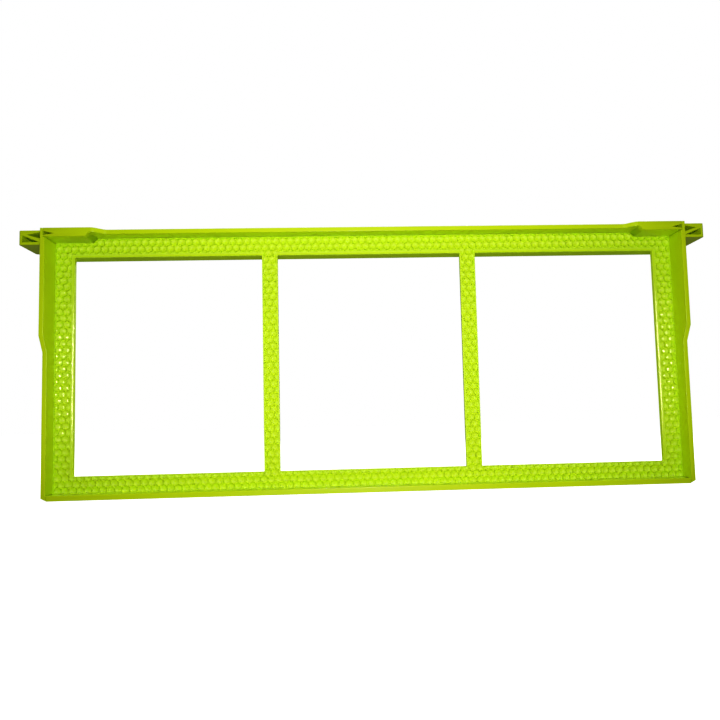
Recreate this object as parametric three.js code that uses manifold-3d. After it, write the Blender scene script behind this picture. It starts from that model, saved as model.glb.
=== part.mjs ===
// Plastic hive frame with three open windows, in millimetres, +Z up.
// Origin: on the surface it stands on, under the middle of the bottom bar. +X runs along the bars, Y is depth.
// Five pieces: a top bar with two hanging lugs, two end bars, a bottom bar and a comb panel in the mid-plane.
import * as THREE from 'three';
import { mergeVertices } from 'three/addons/utils/BufferGeometryUtils.js';
import Module from 'manifold-3d';

const wasm = await Module();
wasm.setup();

// ---- driving dimensions -------------------------------------------------------------------------------
const OVERALL = 482; // lug tip to lug tip
const BODY = 448; // outer face to outer face of the end bars
const HEIGHT = 185;
const SHOULDER_DEPTH = 35; // spacing shoulders, which set the pitch of neighbouring frames
const BAR_DEPTH = 24; // top bar between the shoulders, lugs, bottom bar and lower end bars
const GAP = 0.3; // clearance of every joint

const END_T = 3; // end bar plate
const EAR_T = 1.8; // end bar beside the top bar's neck
const TAPER_LOW_Z = 100.2; // the end bar widens from here
const TAPER_HIGH_Z = 111; // to here

const TOP_T = 3; // top bar between the shoulders
const SHOULDER_T = 6;
const SHOULDER_X = 194.5; // inner end of the thick shoulder, at its underside
const WIDE_X = 190.5; // top bar is full depth outside this
const NARROW_X = 181; // and bar depth inside this
const NECK_DEPTH = 20; // neck between the two ears of the end bar
const LUG_H = 10;
const LUG_CORNER_R = 1.5;
const WEB_T = 2; // web left between front and rear pockets of a lug
const SHOULDER_POCKET_DEPTH = 6;

const BOTTOM_T = 3.6;
const TENON_DEPTH = 16; // bottom bar's tenon in the end bar's notch
const CORNER_CHAMFER_X = 4; // lower outer corners of the frame
const CORNER_CHAMFER_Z = 2;
const BEAD_R = 0.6; // snap beads on neck and tenon

const PANEL_T = 3;
const TONGUE_T = 1.8; // panel's edge tongue
const TONGUE_L = 1.2;
const GROOVE_L = TONGUE_L + GAP;
const GROOVE_T = TONGUE_T + 2 * GAP;
const TONGUE_X = 218; // ends of the top and bottom tongues
const SIDE_TONGUE_Z = [6, 176]; // ends of the side tongues

const WINDOW_W = 131;
const MULLION_W = 11.1;
const WINDOW_Z = [15.3, 168.5];
const LEDGE_Y = 9.7; // rear edge of the comb guide ledge that runs along the window heads
const LEDGE_T = 1.6;

// ---- derived ------------------------------------------------------------------------------------------
const LUG_X = OVERALL / 2;
const OUTER_X = BODY / 2;
const INNER_X = OUTER_X - END_T;
const EAR_X = OUTER_X - EAR_T;
const SHOULDER_Z = HEIGHT - SHOULDER_T;
const MID_Z = HEIGHT - TOP_T;
const LEDGE_Z = SHOULDER_Z - GAP; // floor of the end bar's top notch
const WIDE = SHOULDER_DEPTH / 2;
const NARROW = BAR_DEPTH / 2;
const PAST = 5; // how far a cutter reaches beyond the face it cuts

// ---- solids -------------------------------------------------------------------------------------------
function toSolid(geometry) {
  geometry.deleteAttribute('normal');
  geometry.deleteAttribute('uv');
  const merged = mergeVertices(geometry, 1e-4);
  const vertProperties = new Float32Array(merged.attributes.position.array);
  const triVerts = new Uint32Array(merged.index.array);
  return new wasm.Manifold(new wasm.Mesh({ numProp: 3, vertProperties, triVerts }));
}

function shapeOf(points) {
  return new THREE.Shape(points.map(([a, b]) => new THREE.Vector2(a, b)));
}

// A block between two limits along each axis.
function block([x0, x1], [y0, y1], [z0, z1]) {
  const geometry = new THREE.BoxGeometry(Math.abs(x1 - x0), Math.abs(y1 - y0), Math.abs(z1 - z0));
  geometry.translate((x0 + x1) / 2, (y0 + y1) / 2, (z0 + z1) / 2);
  return toSolid(geometry);
}

// An outline in plan, [x, y], between two heights.
function prismZ(points, z0, z1) {
  const geometry = new THREE.ExtrudeGeometry(shapeOf(points), { depth: z1 - z0, bevelEnabled: false });
  geometry.translate(0, 0, z0);
  return toSolid(geometry);
}

// An outline seen from the front, [x, z], between two depths.
function prismY(points, y0, y1) {
  const geometry = new THREE.ExtrudeGeometry(shapeOf(points), { depth: y1 - y0, bevelEnabled: false });
  geometry.rotateX(Math.PI / 2);
  geometry.translate(0, y1, 0);
  return toSolid(geometry);
}

// An outline seen from the end, [y, z], between two stations along the bars.
function prismX(points, x0, x1) {
  const geometry = new THREE.ExtrudeGeometry(shapeOf(points), { depth: x1 - x0, bevelEnabled: false });
  const axes = [new THREE.Vector3(0, 1, 0), new THREE.Vector3(0, 0, 1), new THREE.Vector3(1, 0, 0)];
  geometry.applyMatrix4(new THREE.Matrix4().makeBasis(...axes));
  geometry.translate(x0, 0, 0);
  return toSolid(geometry);
}

// A round bar along X.
function rodX(radius, x0, x1, y, z) {
  const geometry = new THREE.CylinderGeometry(radius, radius, x1 - x0, 12);
  geometry.rotateZ(Math.PI / 2);
  geometry.translate((x0 + x1) / 2, y, z);
  return toSolid(geometry);
}

const join = (solids) => solids.reduce((all, solid) => all.add(solid));
const cut = (body, cutters) => cutters.reduce((rest, cutter) => rest.subtract(cutter), body);
const span = (side, a, b) => (side > 0 ? [a, b] : [-b, -a]);
const flip = (side, points) => points.map(([x, z]) => [side * x, z]);

// ---- shared outlines ----------------------------------------------------------------------------------
// The top bar's underside seen from the front, right half from the middle outwards. A positive offset
// lies that far inside the bar's material, a negative one that far below it.
function undersideLine(offset, endX) {
  const shoulderZ = SHOULDER_Z + offset;
  const midZ = MID_Z + offset;
  const slope = SHOULDER_X + SHOULDER_Z + offset * Math.SQRT2; // x + z along the 45 degree shoulder end
  return [[slope - midZ, midZ], [slope - shoulderZ, shoulderZ], [endX, shoulderZ]];
}

function underTopBar(offset, endX, floorZ) {
  const right = undersideLine(offset, endX);
  const left = right.map(([x, z]) => [-x, z]).reverse();
  return [[-endX, floorZ], ...left, ...right, [endX, floorZ]];
}

// The chamfer across each lower outer corner of the frame, as a cutter.
function cornerCutter(side) {
  const inner = OUTER_X - CORNER_CHAMFER_X;
  const slope = CORNER_CHAMFER_Z / CORNER_CHAMFER_X;
  const outline = [[inner - PAST, -slope * PAST], [inner - PAST, -2 * PAST], [OUTER_X + PAST, -2 * PAST],
    [OUTER_X + PAST, CORNER_CHAMFER_Z + slope * PAST]];
  return prismY(flip(side, outline), -WIDE - PAST, WIDE + PAST);
}

// ---- top bar ------------------------------------------------------------------------------------------
const SWEEP_STEPS = 8;

// Half depth of the top bar at x: a smooth sweep from the narrow middle to the wide shoulders.
function sweep() {
  const points = [];
  for (let i = 0; i <= SWEEP_STEPS; i += 1) {
    const t = i / SWEEP_STEPS;
    const ease = (1 - Math.cos(Math.PI * t)) / 2;
    points.push([NARROW_X + (WIDE_X - NARROW_X) * t, NARROW + (WIDE - NARROW) * ease]);
  }
  return points;
}

function topPlate(endX) {
  const quarter = [...sweep(), [endX, WIDE]];
  const back = quarter;
  const backLeft = quarter.map(([x, y]) => [-x, y]).reverse();
  const frontLeft = quarter.map(([x, y]) => [-x, -y]);
  const front = quarter.map(([x, y]) => [x, -y]).reverse();
  return prismZ([...back, ...front, ...frontLeft, ...backLeft], MID_Z, HEIGHT);
}

function lugPlan(side) {
  const rootX = OUTER_X + GAP;
  const points = [[rootX, -NARROW]];
  const steps = 4;
  for (const ySign of [-1, 1]) {
    for (let i = 0; i <= steps; i += 1) {
      const turn = (i / steps) * (Math.PI / 2);
      const angle = ySign < 0 ? turn : Math.PI / 2 - turn;
      const x = LUG_X - LUG_CORNER_R + LUG_CORNER_R * Math.sin(angle);
      const y = ySign * (NARROW - LUG_CORNER_R + LUG_CORNER_R * Math.cos(angle));
      points.push([x, y]);
    }
  }
  points.push([rootX, NARROW]);
  return flip(side, points);
}

// Triangular pockets either side of a lug's diagonal rib, seen from the front.
const LUG_Z = HEIGHT - LUG_H;
const LUG_POCKETS = [
  [[OUTER_X + 2.2, HEIGHT - 1.3], [OUTER_X + 2.2, LUG_Z + 4.1], [OUTER_X + 11.5, HEIGHT - 3]],
  [[LUG_X - 2.2, LUG_Z + 6.6], [LUG_X - 2, LUG_Z + 1.7], [OUTER_X + 3.6, LUG_Z + 1.9]],
];
// Triangular pocket in the shoulder's front and rear face, open towards the end bar's ear.
const SHOULDER_POCKET = [[OUTER_X, HEIGHT - 2], [OUTER_X, SHOULDER_Z + 0.8], [OUTER_X - 9.2, SHOULDER_Z + 2.1]];

function pocketPair(side, outline, faceY, floorY) {
  const outlineHere = flip(side, outline);
  return [prismY(outlineHere, -faceY - PAST, -floorY), prismY(outlineHere, floorY, faceY + PAST)];
}

function makeTopBar() {
  const shoulderEnd = EAR_X - GAP;
  const solids = [topPlate(shoulderEnd)];
  const cutters = [prismY(underTopBar(GROOVE_L, TONGUE_X + GAP, SHOULDER_Z - PAST), -GROOVE_T / 2, GROOVE_T / 2)];
  for (const side of [-1, 1]) {
    const shoulder = [[SHOULDER_X - TOP_T, MID_Z], [SHOULDER_X, SHOULDER_Z], [shoulderEnd, SHOULDER_Z],
      [shoulderEnd, MID_Z + 1], [SHOULDER_X - TOP_T, MID_Z + 1]];
    solids.push(prismY(flip(side, shoulder), -WIDE, WIDE));
    const neckY = NECK_DEPTH / 2;
    solids.push(block(span(side, shoulderEnd - 1, OUTER_X + 1), [-neckY, neckY], [SHOULDER_Z, HEIGHT]));
    solids.push(prismZ(lugPlan(side), LUG_Z, HEIGHT));
    for (const y of [-neckY, neckY]) {
      solids.push(rodX(BEAD_R, ...span(side, EAR_X + 0.3, OUTER_X - 0.3), y, SHOULDER_Z + SHOULDER_T / 2));
    }
    for (const outline of LUG_POCKETS) {
      cutters.push(...pocketPair(side, outline, NARROW, WEB_T / 2));
    }
    cutters.push(...pocketPair(side, SHOULDER_POCKET, WIDE, WIDE - SHOULDER_POCKET_DEPTH));
  }
  return cut(join(solids), cutters);
}

// ---- end bars -----------------------------------------------------------------------------------------
function makeEndBar(side) {
  const plate = [[NARROW, 0], [NARROW, TAPER_LOW_Z], [WIDE, TAPER_HIGH_Z], [WIDE, HEIGHT],
    [-WIDE, HEIGHT], [-WIDE, TAPER_HIGH_Z], [-NARROW, TAPER_LOW_Z], [-NARROW, 0]];
  const body = prismX(plate, ...span(side, INNER_X, OUTER_X));
  const through = span(side, INNER_X - PAST, OUTER_X + PAST);
  const inside = (depth) => span(side, INNER_X - PAST, INNER_X + depth);
  const neckY = NECK_DEPTH / 2 + GAP;
  const tenonY = TENON_DEPTH / 2 + GAP;
  const grooveY = GROOVE_T / 2;
  const cutters = [
    block(inside(END_T - EAR_T), [-WIDE - PAST, WIDE + PAST], [LEDGE_Z, HEIGHT + PAST]),
    block(through, [-neckY, neckY], [LEDGE_Z, HEIGHT + PAST]),
    block(through, [-tenonY, tenonY], [-PAST, BOTTOM_T + GAP]),
    block(inside(GROOVE_L), [-grooveY, grooveY], [SIDE_TONGUE_Z[0] - GAP, SIDE_TONGUE_Z[1] + GAP]),
    cornerCutter(side),
  ];
  for (const sign of [-1, 1]) {
    cutters.push(rodX(BEAD_R + GAP, ...through, sign * NECK_DEPTH / 2, SHOULDER_Z + SHOULDER_T / 2));
    cutters.push(rodX(BEAD_R + GAP, ...through, sign * TENON_DEPTH / 2, BOTTOM_T / 2));
  }
  return cut(body, cutters);
}

// ---- bottom bar ---------------------------------------------------------------------------------------
function makeBottomBar() {
  const endX = INNER_X - GAP;
  const grooveY = GROOVE_T / 2;
  const solids = [block([-endX, endX], [-NARROW, NARROW], [0, BOTTOM_T])];
  const cutters = [block([-TONGUE_X - GAP, TONGUE_X + GAP], [-grooveY, grooveY], [BOTTOM_T - GROOVE_L, BOTTOM_T + PAST])];
  for (const side of [-1, 1]) {
    const tenonY = TENON_DEPTH / 2;
    solids.push(block(span(side, endX - 1, OUTER_X), [-tenonY, tenonY], [0, BOTTOM_T]));
    for (const y of [-tenonY, tenonY]) {
      solids.push(rodX(BEAD_R, ...span(side, INNER_X + 0.5, OUTER_X - 0.5), y, BOTTOM_T / 2));
    }
    cutters.push(cornerCutter(side));
  }
  return cut(join(solids), cutters);
}

// ---- comb panel ---------------------------------------------------------------------------------------
const WINDOW_PITCH = WINDOW_W + MULLION_W;

function makeCombPanel() {
  const panelY = PANEL_T / 2;
  const tongueY = TONGUE_T / 2;
  const [sillZ, headZ] = WINDOW_Z;
  const solids = [
    prismY(underTopBar(-GAP, INNER_X - GAP, BOTTOM_T + GAP), -panelY, panelY),
    prismY(underTopBar(TONGUE_L, TONGUE_X, BOTTOM_T - TONGUE_L), -tongueY, tongueY),
    block([-INNER_X - TONGUE_L, INNER_X + TONGUE_L], [-tongueY, tongueY], SIDE_TONGUE_Z),
  ];
  const cutters = [];
  for (const column of [-1, 0, 1]) {
    const x = [column * WINDOW_PITCH - WINDOW_W / 2, column * WINDOW_PITCH + WINDOW_W / 2];
    cutters.push(block(x, [-PAST, PAST], [sillZ, headZ]));
  }
  const endX = INNER_X - GAP;
  const ledge = block([-endX, endX], [0, LEDGE_Y], [headZ, headZ + LEDGE_T]);
  return cut(join(solids), cutters).add(ledge);
}

// ---- scene graph --------------------------------------------------------------------------------------
const BAR_COLOUR = 0xb4dc0c;
const COMB_COLOUR = 0xa6e60f;

function toMesh(name, solid, colour, roughness) {
  const { vertProperties, triVerts } = solid.getMesh();
  const geometry = new THREE.BufferGeometry();
  geometry.setAttribute('position', new THREE.BufferAttribute(new Float32Array(vertProperties), 3));
  geometry.setIndex(new THREE.BufferAttribute(new Uint32Array(triVerts), 1));
  geometry.computeVertexNormals();
  const material = new THREE.MeshStandardMaterial({ color: colour, roughness, metalness: 0 });
  const mesh = new THREE.Mesh(geometry, material);
  mesh.name = name;
  return mesh;
}

const group = new THREE.Group();
group.add(toMesh('top_bar', makeTopBar(), BAR_COLOUR, 0.32));
group.add(toMesh('end_bar_left', makeEndBar(-1), BAR_COLOUR, 0.32));
group.add(toMesh('end_bar_right', makeEndBar(1), BAR_COLOUR, 0.32));
group.add(toMesh('bottom_bar', makeBottomBar(), BAR_COLOUR, 0.32));
group.add(toMesh('comb_panel', makeCombPanel(), COMB_COLOUR, 0.38));

export default group;
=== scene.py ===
"""Lime-green plastic hive frame with an embossed comb panel, standing on a pale floor. Metres, +Z up."""
from math import cos, pi, radians, sin, sqrt

import bmesh
import bpy
from mathutils import Matrix, Vector


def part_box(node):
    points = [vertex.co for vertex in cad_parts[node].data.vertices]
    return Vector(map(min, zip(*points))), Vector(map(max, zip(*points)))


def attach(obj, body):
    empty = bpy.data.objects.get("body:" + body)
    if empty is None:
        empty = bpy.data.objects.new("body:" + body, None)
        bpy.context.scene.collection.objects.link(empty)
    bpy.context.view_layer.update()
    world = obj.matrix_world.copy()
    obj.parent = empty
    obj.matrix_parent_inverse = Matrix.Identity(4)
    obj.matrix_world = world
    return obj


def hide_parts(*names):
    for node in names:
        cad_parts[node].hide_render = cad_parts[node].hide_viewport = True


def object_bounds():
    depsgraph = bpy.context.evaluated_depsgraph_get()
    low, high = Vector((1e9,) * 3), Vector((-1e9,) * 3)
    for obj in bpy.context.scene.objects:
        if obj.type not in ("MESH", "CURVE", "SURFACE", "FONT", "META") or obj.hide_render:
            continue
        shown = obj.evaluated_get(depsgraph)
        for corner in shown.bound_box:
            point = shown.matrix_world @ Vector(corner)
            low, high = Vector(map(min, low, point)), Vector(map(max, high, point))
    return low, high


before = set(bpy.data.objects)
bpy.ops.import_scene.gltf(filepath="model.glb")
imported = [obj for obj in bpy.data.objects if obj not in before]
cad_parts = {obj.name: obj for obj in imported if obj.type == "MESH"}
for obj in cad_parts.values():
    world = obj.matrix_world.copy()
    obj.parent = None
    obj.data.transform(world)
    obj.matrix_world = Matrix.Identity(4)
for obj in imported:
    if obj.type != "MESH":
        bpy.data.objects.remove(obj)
CAD_LOW, CAD_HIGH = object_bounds()

MM = 0.001

# ---- sizes, from the frame -------------------------------------------------------------------------------
PANEL_LOW, PANEL_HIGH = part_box("comb_panel")
TOP_LOW, TOP_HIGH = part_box("top_bar")
END_LOW, END_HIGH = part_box("end_bar_right")
_, BOTTOM_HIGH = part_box("bottom_bar")

SEAM = 0.05 * MM  # what shows of the gap between the panel and the bars
LAND = 0.35 * MM  # plain strip between the cells and the panel's outer edge
TOP_T = 3 * MM  # top bar between its thick shoulders
SHOULDER_T = 6 * MM
SHOULDER_X = 194.5 * MM  # inner end of a shoulder, at its underside
PANEL_Y = -PANEL_LOW.y
PANEL_X = END_LOW.x - SEAM
PANEL_BOTTOM = BOTTOM_HIGH.z + SEAM
PANEL_TOP = TOP_HIGH.z - TOP_T - SEAM
SHOULDER_Z = TOP_HIGH.z - SHOULDER_T - SEAM  # the panel's edge under the shoulders
STEP_X = SHOULDER_X - SEAM
STEP_RUN = PANEL_TOP - SHOULDER_Z  # the step between the two heights slopes at 45 degrees

WINDOW_W = 131 * MM
WINDOW_PITCH = 142.1 * MM
COLUMNS = (-1, 0, 1)  # the windows, from left to right
WINDOW_Z = (15.3 * MM, 168.5 * MM)
# Smooth strip round each window: wide along the frame's sides and top, narrow elsewhere.
RIM_WIDE = 2.1 * MM
RIM_MULLION = 0.9 * MM
RIM_SILL = 0.6 * MM
RIM_POLISHED = 0.5  # share of the strip, next to the window, that is polished
RIM_R = 0.25 * MM  # rounding of the window's edge
RIM_STEPS = 3  # flats in that rounding
LEDGE_Y = PANEL_HIGH.y  # rear edge of the comb guide ledge along the window heads
LEDGE_T = 1.6 * MM
LEDGE_R = 0.25 * MM
LEDGE_STEPS = 4

# ---- the cell pattern ------------------------------------------------------------------------------------
CELL_PITCH = 5.119 * MM
ROW_PITCH = CELL_PITCH * sqrt(3) / 2
FIRST_ROW_Z = 1.12 * MM
FIRST_CELL_X = 0.15 * MM
APOTHEM = CELL_PITCH / 2
CELL_REACH = CELL_PITCH * 0.6  # a little more than a cell's corner radius
CELL_DEPTH = 0.97 * MM
WALL_DROP = 0.1 * MM  # how far the crests of the cell walls lie below the panel's face
WALL_TOP = PANEL_Y - WALL_DROP
# The rings of a cell, from its wall's crest to the edge of its floor's flat middle.
# Each has its distance in from the hexagon's side, its roundness and its depth.
CELL_RINGS = [
    (0.0, 0.0, 0.0),
    (0.06 * MM, 0.0, 0.03 * MM),
    (0.4 * MM, 0.2, 0.42 * MM),
    (0.9 * MM, 0.75, 0.78 * MM),
    (1.4 * MM, 1.0, 0.92 * MM),
    (1.85 * MM, 1.0, CELL_DEPTH),
]
SEGMENTS = 12
REAR_SHIFT = CELL_PITCH / sqrt(3)  # rear cells are centred where three front walls meet
SPARE_CELLS = 2  # rows and columns tried beyond the panel's edges

# How near two points count as one, in metres.
CUT_FUZZ = 1e-7
SAME_POINT = 1e-6
SAME_CUT_POINT = 2e-6  # once the sheets are cut


def window_box(column, grow=0.0):
    """Left, right, bottom and top of a window, grown on every side."""
    middle = column * WINDOW_PITCH
    half = WINDOW_W / 2 + grow
    return middle - half, middle + half, WINDOW_Z[0] - grow, WINDOW_Z[1] + grow


def rim_box(column, share=1.0):
    """Outer edges of the smooth strip round a window, or of a share of its width."""
    left, right, bottom, top = window_box(column)
    left_rim = RIM_WIDE if column == -1 else RIM_MULLION
    right_rim = RIM_WIDE if column == 1 else RIM_MULLION
    sides = (left - left_rim * share, right + right_rim * share)
    return (*sides, bottom - RIM_SILL * share, top + RIM_WIDE * share)


RIMS = [rim_box(column) for column in COLUMNS]


def outline(inset):
    """Corners of the panel, moved in by a distance."""
    end_x = PANEL_X - inset
    step_x = STEP_X - (sqrt(2) - 1) * inset
    low = PANEL_BOTTOM + inset
    shoulder = SHOULDER_Z - inset
    high = PANEL_TOP - inset
    right = [(end_x, low), (end_x, shoulder), (step_x, shoulder), (step_x - STEP_RUN, high)]
    return [(-x, z) for x, z in right] + right[::-1]


PANEL_EDGE = outline(0)
FIELD_EDGE = outline(LAND)
FIELD_X = PANEL_X - LAND
FIELD_LOW = PANEL_BOTTOM + LAND
FIELD_SHOULDER = SHOULDER_Z - LAND
FIELD_HIGH = PANEL_TOP - LAND
FIELD_STEP_X = FIELD_EDGE[5][0]


def inside_field(x, z):
    if abs(x) > FIELD_X or not FIELD_LOW < z < FIELD_HIGH:
        return False
    return z < FIELD_SHOULDER or z < FIELD_SHOULDER + FIELD_STEP_X - abs(x)


def inside_box(x, z, box):
    return box[0] < x < box[1] and box[2] < z < box[3]


def cell_ring(centre_x, centre_z, inset, roundness):
    points = []
    for k in range(SEGMENTS):
        angle = pi / 2 + 2 * pi * k / SEGMENTS
        side = APOTHEM - inset
        corner = side / cos(pi / 6) if k % 2 == 0 else side
        radius = corner + (side - corner) * roundness
        points.append((centre_x + radius * cos(angle), centre_z + radius * sin(angle)))
    return points


def add_cell(verts, faces, centre_x, centre_z, side):
    """One embossed cell on the front (side -1) or rear (side 1) of the panel."""
    first = len(verts)
    for inset, roundness, depth in CELL_RINGS:
        y = side * (WALL_TOP - depth)
        verts.extend((x, y, z) for x, z in cell_ring(centre_x, centre_z, inset, roundness))
    for ring in range(len(CELL_RINGS) - 1):
        for k in range(SEGMENTS):
            a = first + ring * SEGMENTS + k
            b = first + ring * SEGMENTS + (k + 1) % SEGMENTS
            faces.append((a, b, b + SEGMENTS, a + SEGMENTS))
    centre = len(verts)
    verts.append((centre_x, side * (WALL_TOP - CELL_DEPTH), centre_z))
    inner = centre - SEGMENTS
    for k in range(SEGMENTS):
        faces.append((inner + k, inner + (k + 1) % SEGMENTS, centre))


def wanted_cell(x, z):
    """Whether any of a cell at this centre falls on the panel and outside the windows' strips."""
    steps = (-CELL_REACH, 0, CELL_REACH)
    corners = [(x + dx, z + dz) for dx in steps for dz in steps]
    if not any(inside_field(*corner) for corner in corners):
        return False
    return not any(all(inside_box(*corner, rim) for corner in corners) for rim in RIMS)


def lattice(shift_z):
    """Centres of the cells of one face."""
    rows = int(PANEL_TOP / ROW_PITCH) + 1 + SPARE_CELLS
    columns = int(PANEL_X / CELL_PITCH) + SPARE_CELLS
    for row in range(-SPARE_CELLS, rows):
        z = FIRST_ROW_Z + shift_z + row * ROW_PITCH
        offset = CELL_PITCH / 2 if row % 2 else 0.0
        for column in range(-columns, columns + 1):
            x = FIRST_CELL_X + column * CELL_PITCH + offset
            if wanted_cell(x, z):
                yield x, z


def cut_sheets(bm):
    """Scores the cell sheets along every edge of the field and the rims, then drops what lies outside."""
    cuts = [((0, 0, z), (0, 0, 1)) for z in (FIELD_LOW, FIELD_HIGH, FIELD_SHOULDER)]
    for sign in (-1, 1):
        cuts.append(((sign * FIELD_X, 0, 0), (1, 0, 0)))
        cuts.append(((sign * FIELD_STEP_X, 0, FIELD_SHOULDER), (sign, 0, 1)))
    for rim in RIMS:
        cuts.extend([((rim[0], 0, 0), (1, 0, 0)), ((rim[1], 0, 0), (1, 0, 0))])
    cuts.extend([((0, 0, RIMS[0][2]), (0, 0, 1)), ((0, 0, RIMS[0][3]), (0, 0, 1))])
    for point, normal in cuts:
        geometry = bm.verts[:] + bm.edges[:] + bm.faces[:]
        across = Vector(normal).normalized()
        bmesh.ops.bisect_plane(bm, geom=geometry, dist=CUT_FUZZ, plane_co=point, plane_no=across)
    gone = []
    for face in bm.faces:
        middle = face.calc_center_median()
        if not inside_field(middle.x, middle.z) or any(inside_box(middle.x, middle.z, rim) for rim in RIMS):
            gone.append(face)
    bmesh.ops.delete(bm, geom=gone, context="FACES")


def on_line(vert, a, b):
    """How far along the line from a to b a vertex lies, or None if it is off it."""
    run = Vector((b[0] - a[0], b[1] - a[1]))
    offset = Vector((vert.co.x - a[0], vert.co.z - a[1]))
    along = offset.dot(run) / run.length
    if abs(offset.cross(run)) / run.length > SAME_CUT_POINT:
        return None
    if not -SAME_CUT_POINT < along < run.length + SAME_CUT_POINT:
        return None
    return along


def edge_line(open_verts, a, b, side):
    """The sheet's open-edge vertices between two corners, in order, on one face of the panel."""
    found = []
    for vert in open_verts:
        along = on_line(vert, a, b)
        if along is not None and vert.co.y * side > 0:
            found.append((along, vert))
    found.sort(key=lambda pair: pair[0])
    return [vert for along, vert in found]


def loop_at(bm, corners, y):
    return [bm.verts.new((x, y, z)) for x, z in corners]


def corners_of(box):
    left, right, bottom, top = box
    return [(left, bottom), (right, bottom), (right, top), (left, top)]


def bridge(bm, outer, inner):
    """The ring of faces between two loops."""
    made = []
    for k in range(len(outer)):
        following = (k + 1) % len(outer)
        made.append(bm.faces.new((outer[k], outer[following], inner[following], inner[k])))
    return made


def add_skirt(bm, open_verts, corners, side):
    """Closes the cut edge of the cells up to a loop at the panel's face. Returns the loop."""
    crest = loop_at(bm, corners, side * PANEL_Y)
    for k in range(len(corners)):
        following = (k + 1) % len(corners)
        line = edge_line(open_verts, corners[k], corners[following], side)
        bm.faces.new(line + [crest[following], crest[k]])
    return crest


def add_rim(bm, open_verts, column, side):
    """The smooth strip round a window on one face, with a rounded inner edge. Returns its last loop."""
    polished = bm.faces.layers.float["polished"]
    outer = add_skirt(bm, open_verts, corners_of(rim_box(column)), side)
    loop = loop_at(bm, corners_of(rim_box(column, RIM_POLISHED)), side * PANEL_Y)
    bridge(bm, outer, loop)
    for step in range(RIM_STEPS + 1):
        turn = pi / 2 * step / RIM_STEPS
        edge = corners_of(window_box(column, RIM_R * (1 - sin(turn))))
        following = loop_at(bm, edge, side * (PANEL_Y - RIM_R * (1 - cos(turn))))
        for face in bridge(bm, loop, following):
            face[polished] = 0.0 if step else 1.0
        loop = following
    return loop


def add_window(bm, open_verts, column):
    bridge(bm, add_rim(bm, open_verts, column, -1), add_rim(bm, open_verts, column, 1))


def object_from(bm, name):
    mesh = bpy.data.meshes.new(name)
    bm.to_mesh(mesh)
    bm.free()
    made = bpy.data.objects.new(name, mesh)
    bpy.context.scene.collection.objects.link(made)
    return made


# Edges sharper than this are shaded hard, in degrees.
COMB_SHARP = 68
PLAIN_SHARP = 40  # bars and ledge


def smooth(obj, sharp_angle, mirrors=()):
    """Smooth shading that follows the larger faces, with hard edges above an angle and flat mirror faces."""
    obj.data.shade_smooth()
    for index in mirrors:
        obj.data.polygons[index].use_smooth = False
    obj.data.set_sharp_from_angle(angle=radians(sharp_angle))
    modifier = obj.modifiers.new("flat_faces", "WEIGHTED_NORMAL")
    modifier.keep_sharp = True


def cell_sheets():
    """The uncut cells of both faces, with the flat middle of each floor marked as polished."""
    verts = []
    faces = []
    for side, shift_z in ((-1, 0.0), (1, REAR_SHIFT)):
        for x, z in lattice(shift_z):
            add_cell(verts, faces, x, z, side)
    sheet = bpy.data.meshes.new("cells")
    sheet.from_pydata(verts, [], faces)
    cell_polish = [0.0] * SEGMENTS * (len(CELL_RINGS) - 1) + [1.0] * SEGMENTS
    polish = cell_polish * (len(faces) // len(cell_polish))
    sheet.attributes.new("polished", "FLOAT", "FACE").data.foreach_set("value", polish)
    bm = bmesh.new()
    bm.from_mesh(sheet)
    bpy.data.meshes.remove(sheet)
    bmesh.ops.remove_doubles(bm, verts=bm.verts, dist=SAME_POINT)
    return bm


def make_comb():
    bm = cell_sheets()
    cut_sheets(bm)
    bmesh.ops.remove_doubles(bm, verts=bm.verts, dist=SAME_CUT_POINT)
    open_verts = list({v for e in bm.edges if e.is_boundary for v in e.verts})
    for column in COLUMNS:
        add_window(bm, open_verts, column)
    edges = []
    for side in (-1, 1):
        crest = add_skirt(bm, open_verts, FIELD_EDGE, side)
        edges.append(loop_at(bm, PANEL_EDGE, side * PANEL_Y))
        bridge(bm, crest, edges[-1])
    bridge(bm, *edges)
    bmesh.ops.recalc_face_normals(bm, faces=bm.faces)
    polished = bm.faces.layers.float["polished"]
    bm.faces.index_update()
    mirrors = [face.index for face in bm.faces if face[polished] > 0.5]
    comb = object_from(bm, "comb_sheet")
    smooth(comb, COMB_SHARP, mirrors)
    return comb


def make_ledge():
    """The comb guide behind the window heads: a plain strip rooted in the panel, with a rounded rear edge."""
    low = WINDOW_Z[1] - SEAM
    high = low + LEDGE_T
    section = [(0.0, high), (0.0, low)]
    for centre_z, start in ((low + LEDGE_R, -pi / 2), (high - LEDGE_R, 0.0)):
        for step in range(LEDGE_STEPS + 1):
            turn = start + pi / 2 * step / LEDGE_STEPS
            section.append((LEDGE_Y - LEDGE_R + LEDGE_R * cos(turn), centre_z + LEDGE_R * sin(turn)))
    bm = bmesh.new()
    loops = [[bm.verts.new((x, y, z)) for y, z in section] for x in (-PANEL_X, PANEL_X)]
    count = len(section)
    for k in range(count):
        following = (k + 1) % count
        bm.faces.new((loops[0][k], loops[0][following], loops[1][following], loops[1][k]))
    bm.faces.new(loops[0])
    bm.faces.new(loops[1])
    bmesh.ops.recalc_face_normals(bm, faces=bm.faces)
    ledge = object_from(bm, "comb_ledge")
    smooth(ledge, PLAIN_SHARP)
    return ledge


comb = make_comb()
ledge = make_ledge()
for piece in (comb, ledge):
    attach(piece, "root")
    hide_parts("comb_panel")

# ---- bars ------------------------------------------------------------------------------------------------
THIN_BAR_R = 0.25 * MM  # moulded edges of the top and bottom bars
END_BAR_R = 0.35 * MM
BEVEL_SEGMENTS = 2
FLAT_ANGLE = 1  # degrees, up to which neighbouring faces are one
EDGE_ANGLE = 35  # degrees, above which an edge is rounded

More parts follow.
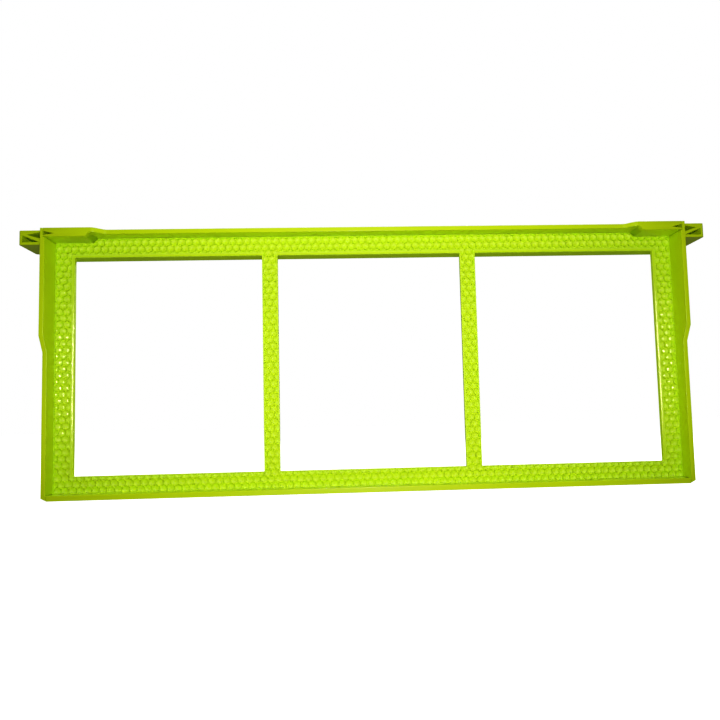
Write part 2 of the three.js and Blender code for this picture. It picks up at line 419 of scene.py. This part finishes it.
# How far the edges of each joint reach. They stay sharp, as they are hidden between two pieces.
NECK_END = 0.5 * MM  # past both faces of an end bar
NECK_DEPTH = 11.5 * MM  # from the mid-plane, as are the next three
GROOVE_DEPTH = 1.3 * MM
NOTCH_DEPTH = 9.5 * MM
TENON_DEPTH = 9 * MM
GROOVE_TOP = 2 * MM  # above the top bar's lowest face
NOTCH_TOP = 5 * MM  # above the ground


def rounded_bar(node, name, keep_sharp, radius):
    """A bar with its CAD shape and moulded, rounded edges."""
    bm = bmesh.new()
    bm.from_mesh(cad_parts[node].data)
    bmesh.ops.remove_doubles(bm, verts=bm.verts, dist=SAME_POINT)
    bmesh.ops.dissolve_limit(bm, angle_limit=radians(FLAT_ANGLE), verts=bm.verts, edges=bm.edges)
    edges = []
    for edge in bm.edges:
        middle = (edge.verts[0].co + edge.verts[1].co) / 2
        if edge.is_manifold and edge.calc_face_angle() > radians(EDGE_ANGLE) and not keep_sharp(middle):
            edges.append(edge)
    bmesh.ops.bevel(bm, geom=edges, offset=radius, segments=BEVEL_SEGMENTS, profile=0.5, affect="EDGES",
                    clamp_overlap=True)
    bar = object_from(bm, name)
    smooth(bar, PLAIN_SHARP)
    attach(bar, "root")
    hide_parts(node)
    return bar


def top_joint(point):
    in_neck = END_LOW.x - NECK_END < abs(point.x) < END_HIGH.x + NECK_END
    in_groove = abs(point.y) < GROOVE_DEPTH and abs(point.x) < END_LOW.x
    return in_neck or in_groove


def end_joint(point):
    in_groove = abs(point.y) < GROOVE_DEPTH and point.z < TOP_LOW.z + GROOVE_TOP
    at_neck = abs(point.y) < NECK_DEPTH and point.z > TOP_LOW.z
    at_notch = abs(point.y) < NOTCH_DEPTH and point.z < NOTCH_TOP
    return in_groove or at_neck or at_notch


def bottom_joint(point):
    return abs(point.y) < TENON_DEPTH


bars = [
    rounded_bar("top_bar", "top_bar_moulding", top_joint, THIN_BAR_R),
    rounded_bar("end_bar_left", "end_bar_left_moulding", end_joint, END_BAR_R),
    rounded_bar("end_bar_right", "end_bar_right_moulding", end_joint, END_BAR_R),
    rounded_bar("bottom_bar", "bottom_bar_moulding", bottom_joint, THIN_BAR_R),
]

# ---- materials -------------------------------------------------------------------------------------------


class Nodes:
    """A short way to write a node tree."""

    def __init__(self, name):
        self.material = bpy.data.materials.new(name)
        self.material.use_nodes = True
        self.tree = self.material.node_tree
        self.shader = self.tree.nodes["Principled BSDF"]

    def add(self, kind, **settings):
        node = self.tree.nodes.new(kind)
        for key, value in settings.items():
            setattr(node, key, value)
        return node

    def link(self, source, target):
        self.tree.links.new(source, target)

    def noise(self, place, scale, detail=3.0, roughness=0.55):
        node = self.add("ShaderNodeTexNoise")
        node.inputs["Scale"].default_value = scale
        node.inputs["Detail"].default_value = detail
        node.inputs["Roughness"].default_value = roughness
        self.link(place, node.inputs["Vector"])
        return node.outputs["Fac"]

    def ramp(self, value, low, high, out_low, out_high):
        node = self.add("ShaderNodeMapRange")
        node.inputs["From Min"].default_value = low
        node.inputs["From Max"].default_value = high
        node.inputs["To Min"].default_value = out_low
        node.inputs["To Max"].default_value = out_high
        self.link(value, node.inputs["Value"])
        return node.outputs["Result"]

    def mix(self, factor, a, b):
        node = self.add("ShaderNodeMix", data_type="RGBA")
        self.link(factor, node.inputs["Factor"])
        for value, socket in ((a, node.inputs["A"]), (b, node.inputs["B"])):
            if isinstance(value, tuple):
                socket.default_value = (*value, 1.0)
            else:
                self.link(value, socket)
        return node.outputs["Result"]

    def math(self, operation, a, b):
        node = self.add("ShaderNodeMath", operation=operation)
        for value, socket in ((a, node.inputs[0]), (b, node.inputs[1])):
            if isinstance(value, float):
                socket.default_value = value
            else:
                self.link(value, socket)
        return node.outputs["Value"]

    def bump(self, height, strength, distance, normal=None):
        node = self.add("ShaderNodeBump")
        node.inputs["Strength"].default_value = strength
        node.inputs["Distance"].default_value = distance
        self.link(height, node.inputs["Height"])
        if normal is not None:
            self.link(normal, node.inputs["Normal"])
        return node.outputs["Normal"]


# Deep, middle and pale tint of the lime plastic.
BAR_TINTS = ((0.56, 0.76, 0.004), (0.59, 0.78, 0.005), (0.63, 0.81, 0.010))
COMB_TINTS = ((0.54, 0.79, 0.005), (0.57, 0.81, 0.006), (0.62, 0.83, 0.010))
BAR_ROUGHNESS = 0.28
COMB_ROUGHNESS = 0.55
POLISHED_ROUGHNESS = 0.13  # flat middle of each cell's floor, and the strip next to each window
SCUFF_ROUGHNESS = 0.03
WORN_ROUGHNESS = 0.25
PLASTIC_IOR = 1.5
# Noise scales, per metre.
CLOUD_SCALE = 22.0
FLOW_SCALE = 40.0
SCUFF_SCALE = 260.0
GRIT_SCALE = 1800.0
# Between which values of its noise, or of the mesh's pointiness, each effect grows from none to full.
CLOUD_RANGE = (0.3, 0.7)
FLOW_RANGE = (0.5, 0.75)
EDGE_RANGE = (0.52, 0.62)
WORN_RANGE = (0.45, 0.7)
SCUFF_RANGE = (0.35, 0.75)
# How much of the pale tint a flow line and a worn edge show.
FLOW_SHARE = 0.3
WORN_SHARE = 0.5
# Strength and height of the relief.
PEEL_RELIEF = (0.25, 0.005 * MM)
FLOW_RELIEF = (0.2, 0.02 * MM)
# How the flow lines are stretched along each axis: on the bars they run along X.
BAR_FLOW = (0.25, 2.0, 2.0)
COMB_FLOW = (1.0, 1.0, 1.0)


def plastic_colour(n, tints, cloud, flow, worn):
    deep, middle, pale = tints
    colour = n.mix(n.ramp(cloud, *CLOUD_RANGE, 0.0, 1.0), deep, middle)
    colour = n.mix(n.ramp(flow, *FLOW_RANGE, 0.0, FLOW_SHARE), colour, pale)
    return n.mix(worn, colour, pale)


def lime_plastic(name, tints, roughness, flow_stretch):
    """Moulded plastic: cloudy colour, faint flow lines, fine orange peel, and scuffs on worn edges."""
    n = Nodes(name)
    place = n.add("ShaderNodeTexCoord").outputs["Object"]
    stretch = n.add("ShaderNodeMapping")
    stretch.inputs["Scale"].default_value = flow_stretch
    n.link(place, stretch.inputs["Vector"])
    flow = n.noise(stretch.outputs["Vector"], FLOW_SCALE, detail=4.0)
    cloud = n.noise(place, CLOUD_SCALE, detail=3.0)
    grit = n.noise(place, GRIT_SCALE, detail=2.0)
    scuff = n.noise(place, SCUFF_SCALE, detail=6.0, roughness=0.7)
    pointiness = n.add("ShaderNodeNewGeometry").outputs["Pointiness"]
    edge = n.ramp(pointiness, *EDGE_RANGE, 0.0, 1.0)
    worn = n.math("MULTIPLY", edge, n.ramp(scuff, *WORN_RANGE, 0.0, WORN_SHARE))

    colour = plastic_colour(n, tints, cloud, flow, worn)
    # The bars have no such attribute, so it is 0 on them.
    polished = n.add("ShaderNodeAttribute", attribute_name="polished").outputs["Fac"]
    gloss = n.ramp(polished, 0.0, 1.0, roughness, POLISHED_ROUGHNESS)
    gloss = n.math("ADD", gloss, n.ramp(scuff, *SCUFF_RANGE, 0.0, SCUFF_ROUGHNESS))
    n.link(colour, n.shader.inputs["Base Color"])
    n.link(n.math("ADD", gloss, n.math("MULTIPLY", worn, WORN_ROUGHNESS)), n.shader.inputs["Roughness"])
    n.shader.inputs["IOR"].default_value = PLASTIC_IOR

    peel = n.bump(grit, *PEEL_RELIEF)
    n.link(n.bump(flow, *FLOW_RELIEF, peel), n.shader.inputs["Normal"])
    return n.material


def dress(pieces, material):
    for piece in pieces:
        piece.data.materials.clear()
        piece.data.materials.append(material)


bar_plastic = lime_plastic("lime_plastic_bars", BAR_TINTS, BAR_ROUGHNESS, BAR_FLOW)
comb_plastic = lime_plastic("lime_plastic_comb", COMB_TINTS, COMB_ROUGHNESS, COMB_FLOW)
dress(bars, bar_plastic)
dress((comb, ledge), comb_plastic)

# ---- floor -----------------------------------------------------------------------------------------------
FLOOR_SIZE = 12.0
FLOOR_TINT = (0.9, 0.9, 0.9, 1.0)
FLOOR_ROUGHNESS = 0.9
FLOOR_GLOW = 0.93


def make_floor():
    """A pale floor that glows to near white, and casts none of that glow on the object."""
    bm = bmesh.new()
    bmesh.ops.create_grid(bm, x_segments=1, y_segments=1, size=FLOOR_SIZE / 2)
    floor = object_from(bm, "floor")
    n = Nodes("pale_floor")
    n.shader.inputs["Base Color"].default_value = FLOOR_TINT
    n.shader.inputs["Roughness"].default_value = FLOOR_ROUGHNESS
    n.shader.inputs["Emission Color"].default_value = (1.0, 1.0, 1.0, 1.0)
    n.shader.inputs["Emission Strength"].default_value = FLOOR_GLOW
    floor.data.materials.append(n.material)
    floor.location.z = CAD_LOW.z
    floor.visible_diffuse = False
    floor.visible_glossy = False


make_floor()

# ---- camera ----------------------------------------------------------------------------------------------
CAMERA_AT = Vector((-17.5 * MM, -421.9 * MM, 47.6 * MM))
# Turns in radians.
CAMERA_YAW = -0.0404  # to the left is positive
CAMERA_PITCH = 0.0689  # upwards
CAMERA_ROLL = 0.0241
# Lens and sensor in millimetres, shift in sensor widths.
FOCAL = 29.76
SENSOR_WIDTH = 36.0
SHIFT = (-0.0158, 0.0297)
NEAREST = 0.01
FARTHEST = 50.0


def make_camera():
    data = bpy.data.cameras.new("camera")
    data.lens = FOCAL
    data.sensor_width = SENSOR_WIDTH
    data.shift_x, data.shift_y = SHIFT
    data.clip_start = NEAREST
    data.clip_end = FARTHEST
    camera = bpy.data.objects.new("camera", data)
    turn = Matrix.Rotation(CAMERA_YAW, 3, "Z") @ Matrix.Rotation(CAMERA_PITCH, 3, "X")
    turn = turn @ Matrix.Rotation(CAMERA_ROLL, 3, "Y") @ Matrix.Rotation(pi / 2, 3, "X")
    camera.matrix_world = Matrix.Translation(CAMERA_AT) @ turn.to_4x4()
    bpy.context.scene.collection.objects.link(camera)
    bpy.context.scene.camera = camera


make_camera()

# ---- light -----------------------------------------------------------------------------------------------
# Places and sizes in metres, powers in watts.
MIDDLE = (CAD_LOW + CAD_HIGH) / 2
FRONT_OFFSET = Vector((15 * MM, 0, 67 * MM))  # from the camera
FRONT_POWER = 5.6
FRONT_R = 0.016
FRONT_ANGLE = 100  # degrees
STRIPS = {"left": (-411 * MM, 0.075), "right": (448 * MM, 0.075)}  # middle and width of each strip
STRIP_Z = 126 * MM
STRIP_H = 0.155
STRIP_POWER = 1.0
STRIP_COLOUR = (1.0, 1.0, 0.6)
OVERHEAD_AT = Vector((0, 0, 1.3))
OVERHEAD_POWER = 5.0
OVERHEAD_SIZE = 0.8
BOUNCE_AT = Vector((0, -0.2, 0.003))
BOUNCE_POWER = 0.25
BOUNCE_SIZE = (0.5, 0.3)
BACK_AT = Vector((0.25, 0.8, 0.7))
BACK_POWER = 6.0
BACK_SIZE = (0.8, 0.5)
BACKDROP_COLOUR = (1.0, 1.0, 1.0, 1.0)
FILL_COLOUR = (1.0, 1.0, 0.97, 1.0)
FILL_STRENGTH = 0.12
# A camera's contrast: shadows and weak channels fall off a little faster than in a straight line.
TONE_POINTS = ((0.02, 0.007), (0.1, 0.066), (0.35, 0.315), (0.6, 0.61))


def add_light(name, kind, place, power, aim=None, **settings):
    data = bpy.data.lights.new(name, kind)
    data.energy = power
    for key, value in settings.items():
        setattr(data, key, value)
    light = bpy.data.objects.new(name, data)
    light.location = place
    if aim is not None:
        light.rotation_mode = "QUATERNION"
        light.rotation_quaternion = (Vector(aim) - Vector(place)).to_track_quat("-Z", "Y")
    bpy.context.scene.collection.objects.link(light)
    return light


def add_strips():
    """Two strips beside the camera, which the floor of each comb cell mirrors as a dot.

    They light only the comb, and the end bars don't shade it from them as real bars would.
    """
    reach = bpy.data.collections.new("strip_reach")
    reach.objects.link(comb)
    for name, (middle_x, width) in STRIPS.items():
        strip = add_light(f"side_strip_{name}", "AREA", (middle_x, CAMERA_AT.y, STRIP_Z), STRIP_POWER,
                          shape="RECTANGLE", size=width, size_y=STRIP_H, color=STRIP_COLOUR)
        strip.rotation_euler = (pi / 2, 0, 0)
        strip.visible_diffuse = False
        strip.light_linking.receiver_collection = reach
        strip.light_linking.blocker_collection = reach
        # A mirrored ray would stop at an end bar, so the strips are found by shadow rays alone.
        strip.data.cycles.use_multiple_importance_sampling = False


def add_soft_lights():
    """Light from above, off the table and from behind. The first two make no highlights."""
    overhead = add_light("overhead_softbox", "AREA", OVERHEAD_AT, OVERHEAD_POWER, aim=MIDDLE, shape="SQUARE",
                         size=OVERHEAD_SIZE)
    overhead.visible_glossy = False
    bounce = add_light("table_bounce", "AREA", BOUNCE_AT, BOUNCE_POWER, shape="RECTANGLE",
                       size=BOUNCE_SIZE[0], size_y=BOUNCE_SIZE[1])
    bounce.rotation_euler = (pi, 0, 0)
    bounce.visible_glossy = False
    bounce.visible_camera = False
    add_light("back_softbox", "AREA", BACK_AT, BACK_POWER, aim=MIDDLE, shape="RECTANGLE", size=BACK_SIZE[0],
              size_y=BACK_SIZE[1])


def make_world():
    """A white backdrop for the camera, and a weak fill for everything else."""
    world = bpy.data.worlds.new("studio")
    bpy.context.scene.world = world
    world.use_nodes = True
    tree = world.node_tree
    backdrop = tree.nodes["Background"]
    backdrop.inputs["Color"].default_value = BACKDROP_COLOUR
    fill = tree.nodes.new("ShaderNodeBackground")
    fill.inputs["Color"].default_value = FILL_COLOUR
    fill.inputs["Strength"].default_value = FILL_STRENGTH
    path = tree.nodes.new("ShaderNodeLightPath")
    chooser = tree.nodes.new("ShaderNodeMixShader")
    tree.links.new(path.outputs["Is Camera Ray"], chooser.inputs[0])
    tree.links.new(fill.outputs[0], chooser.inputs[1])
    tree.links.new(backdrop.outputs[0], chooser.inputs[2])
    tree.links.new(chooser.outputs[0], tree.nodes["World Output"].inputs["Surface"])


def set_tone():
    view = bpy.context.scene.view_settings
    view.view_transform = "Standard"
    view.use_curve_mapping = True
    tone = view.curve_mapping.curves[3]
    for level, shown in TONE_POINTS:
        tone.points.new(level, shown)
    view.curve_mapping.update()


add_light("front_lamp", "SPOT", CAMERA_AT + FRONT_OFFSET, FRONT_POWER, aim=MIDDLE, shadow_soft_size=FRONT_R,
          spot_size=radians(FRONT_ANGLE), spot_blend=1.0)
add_strips()
add_soft_lights()
make_world()
set_tone()
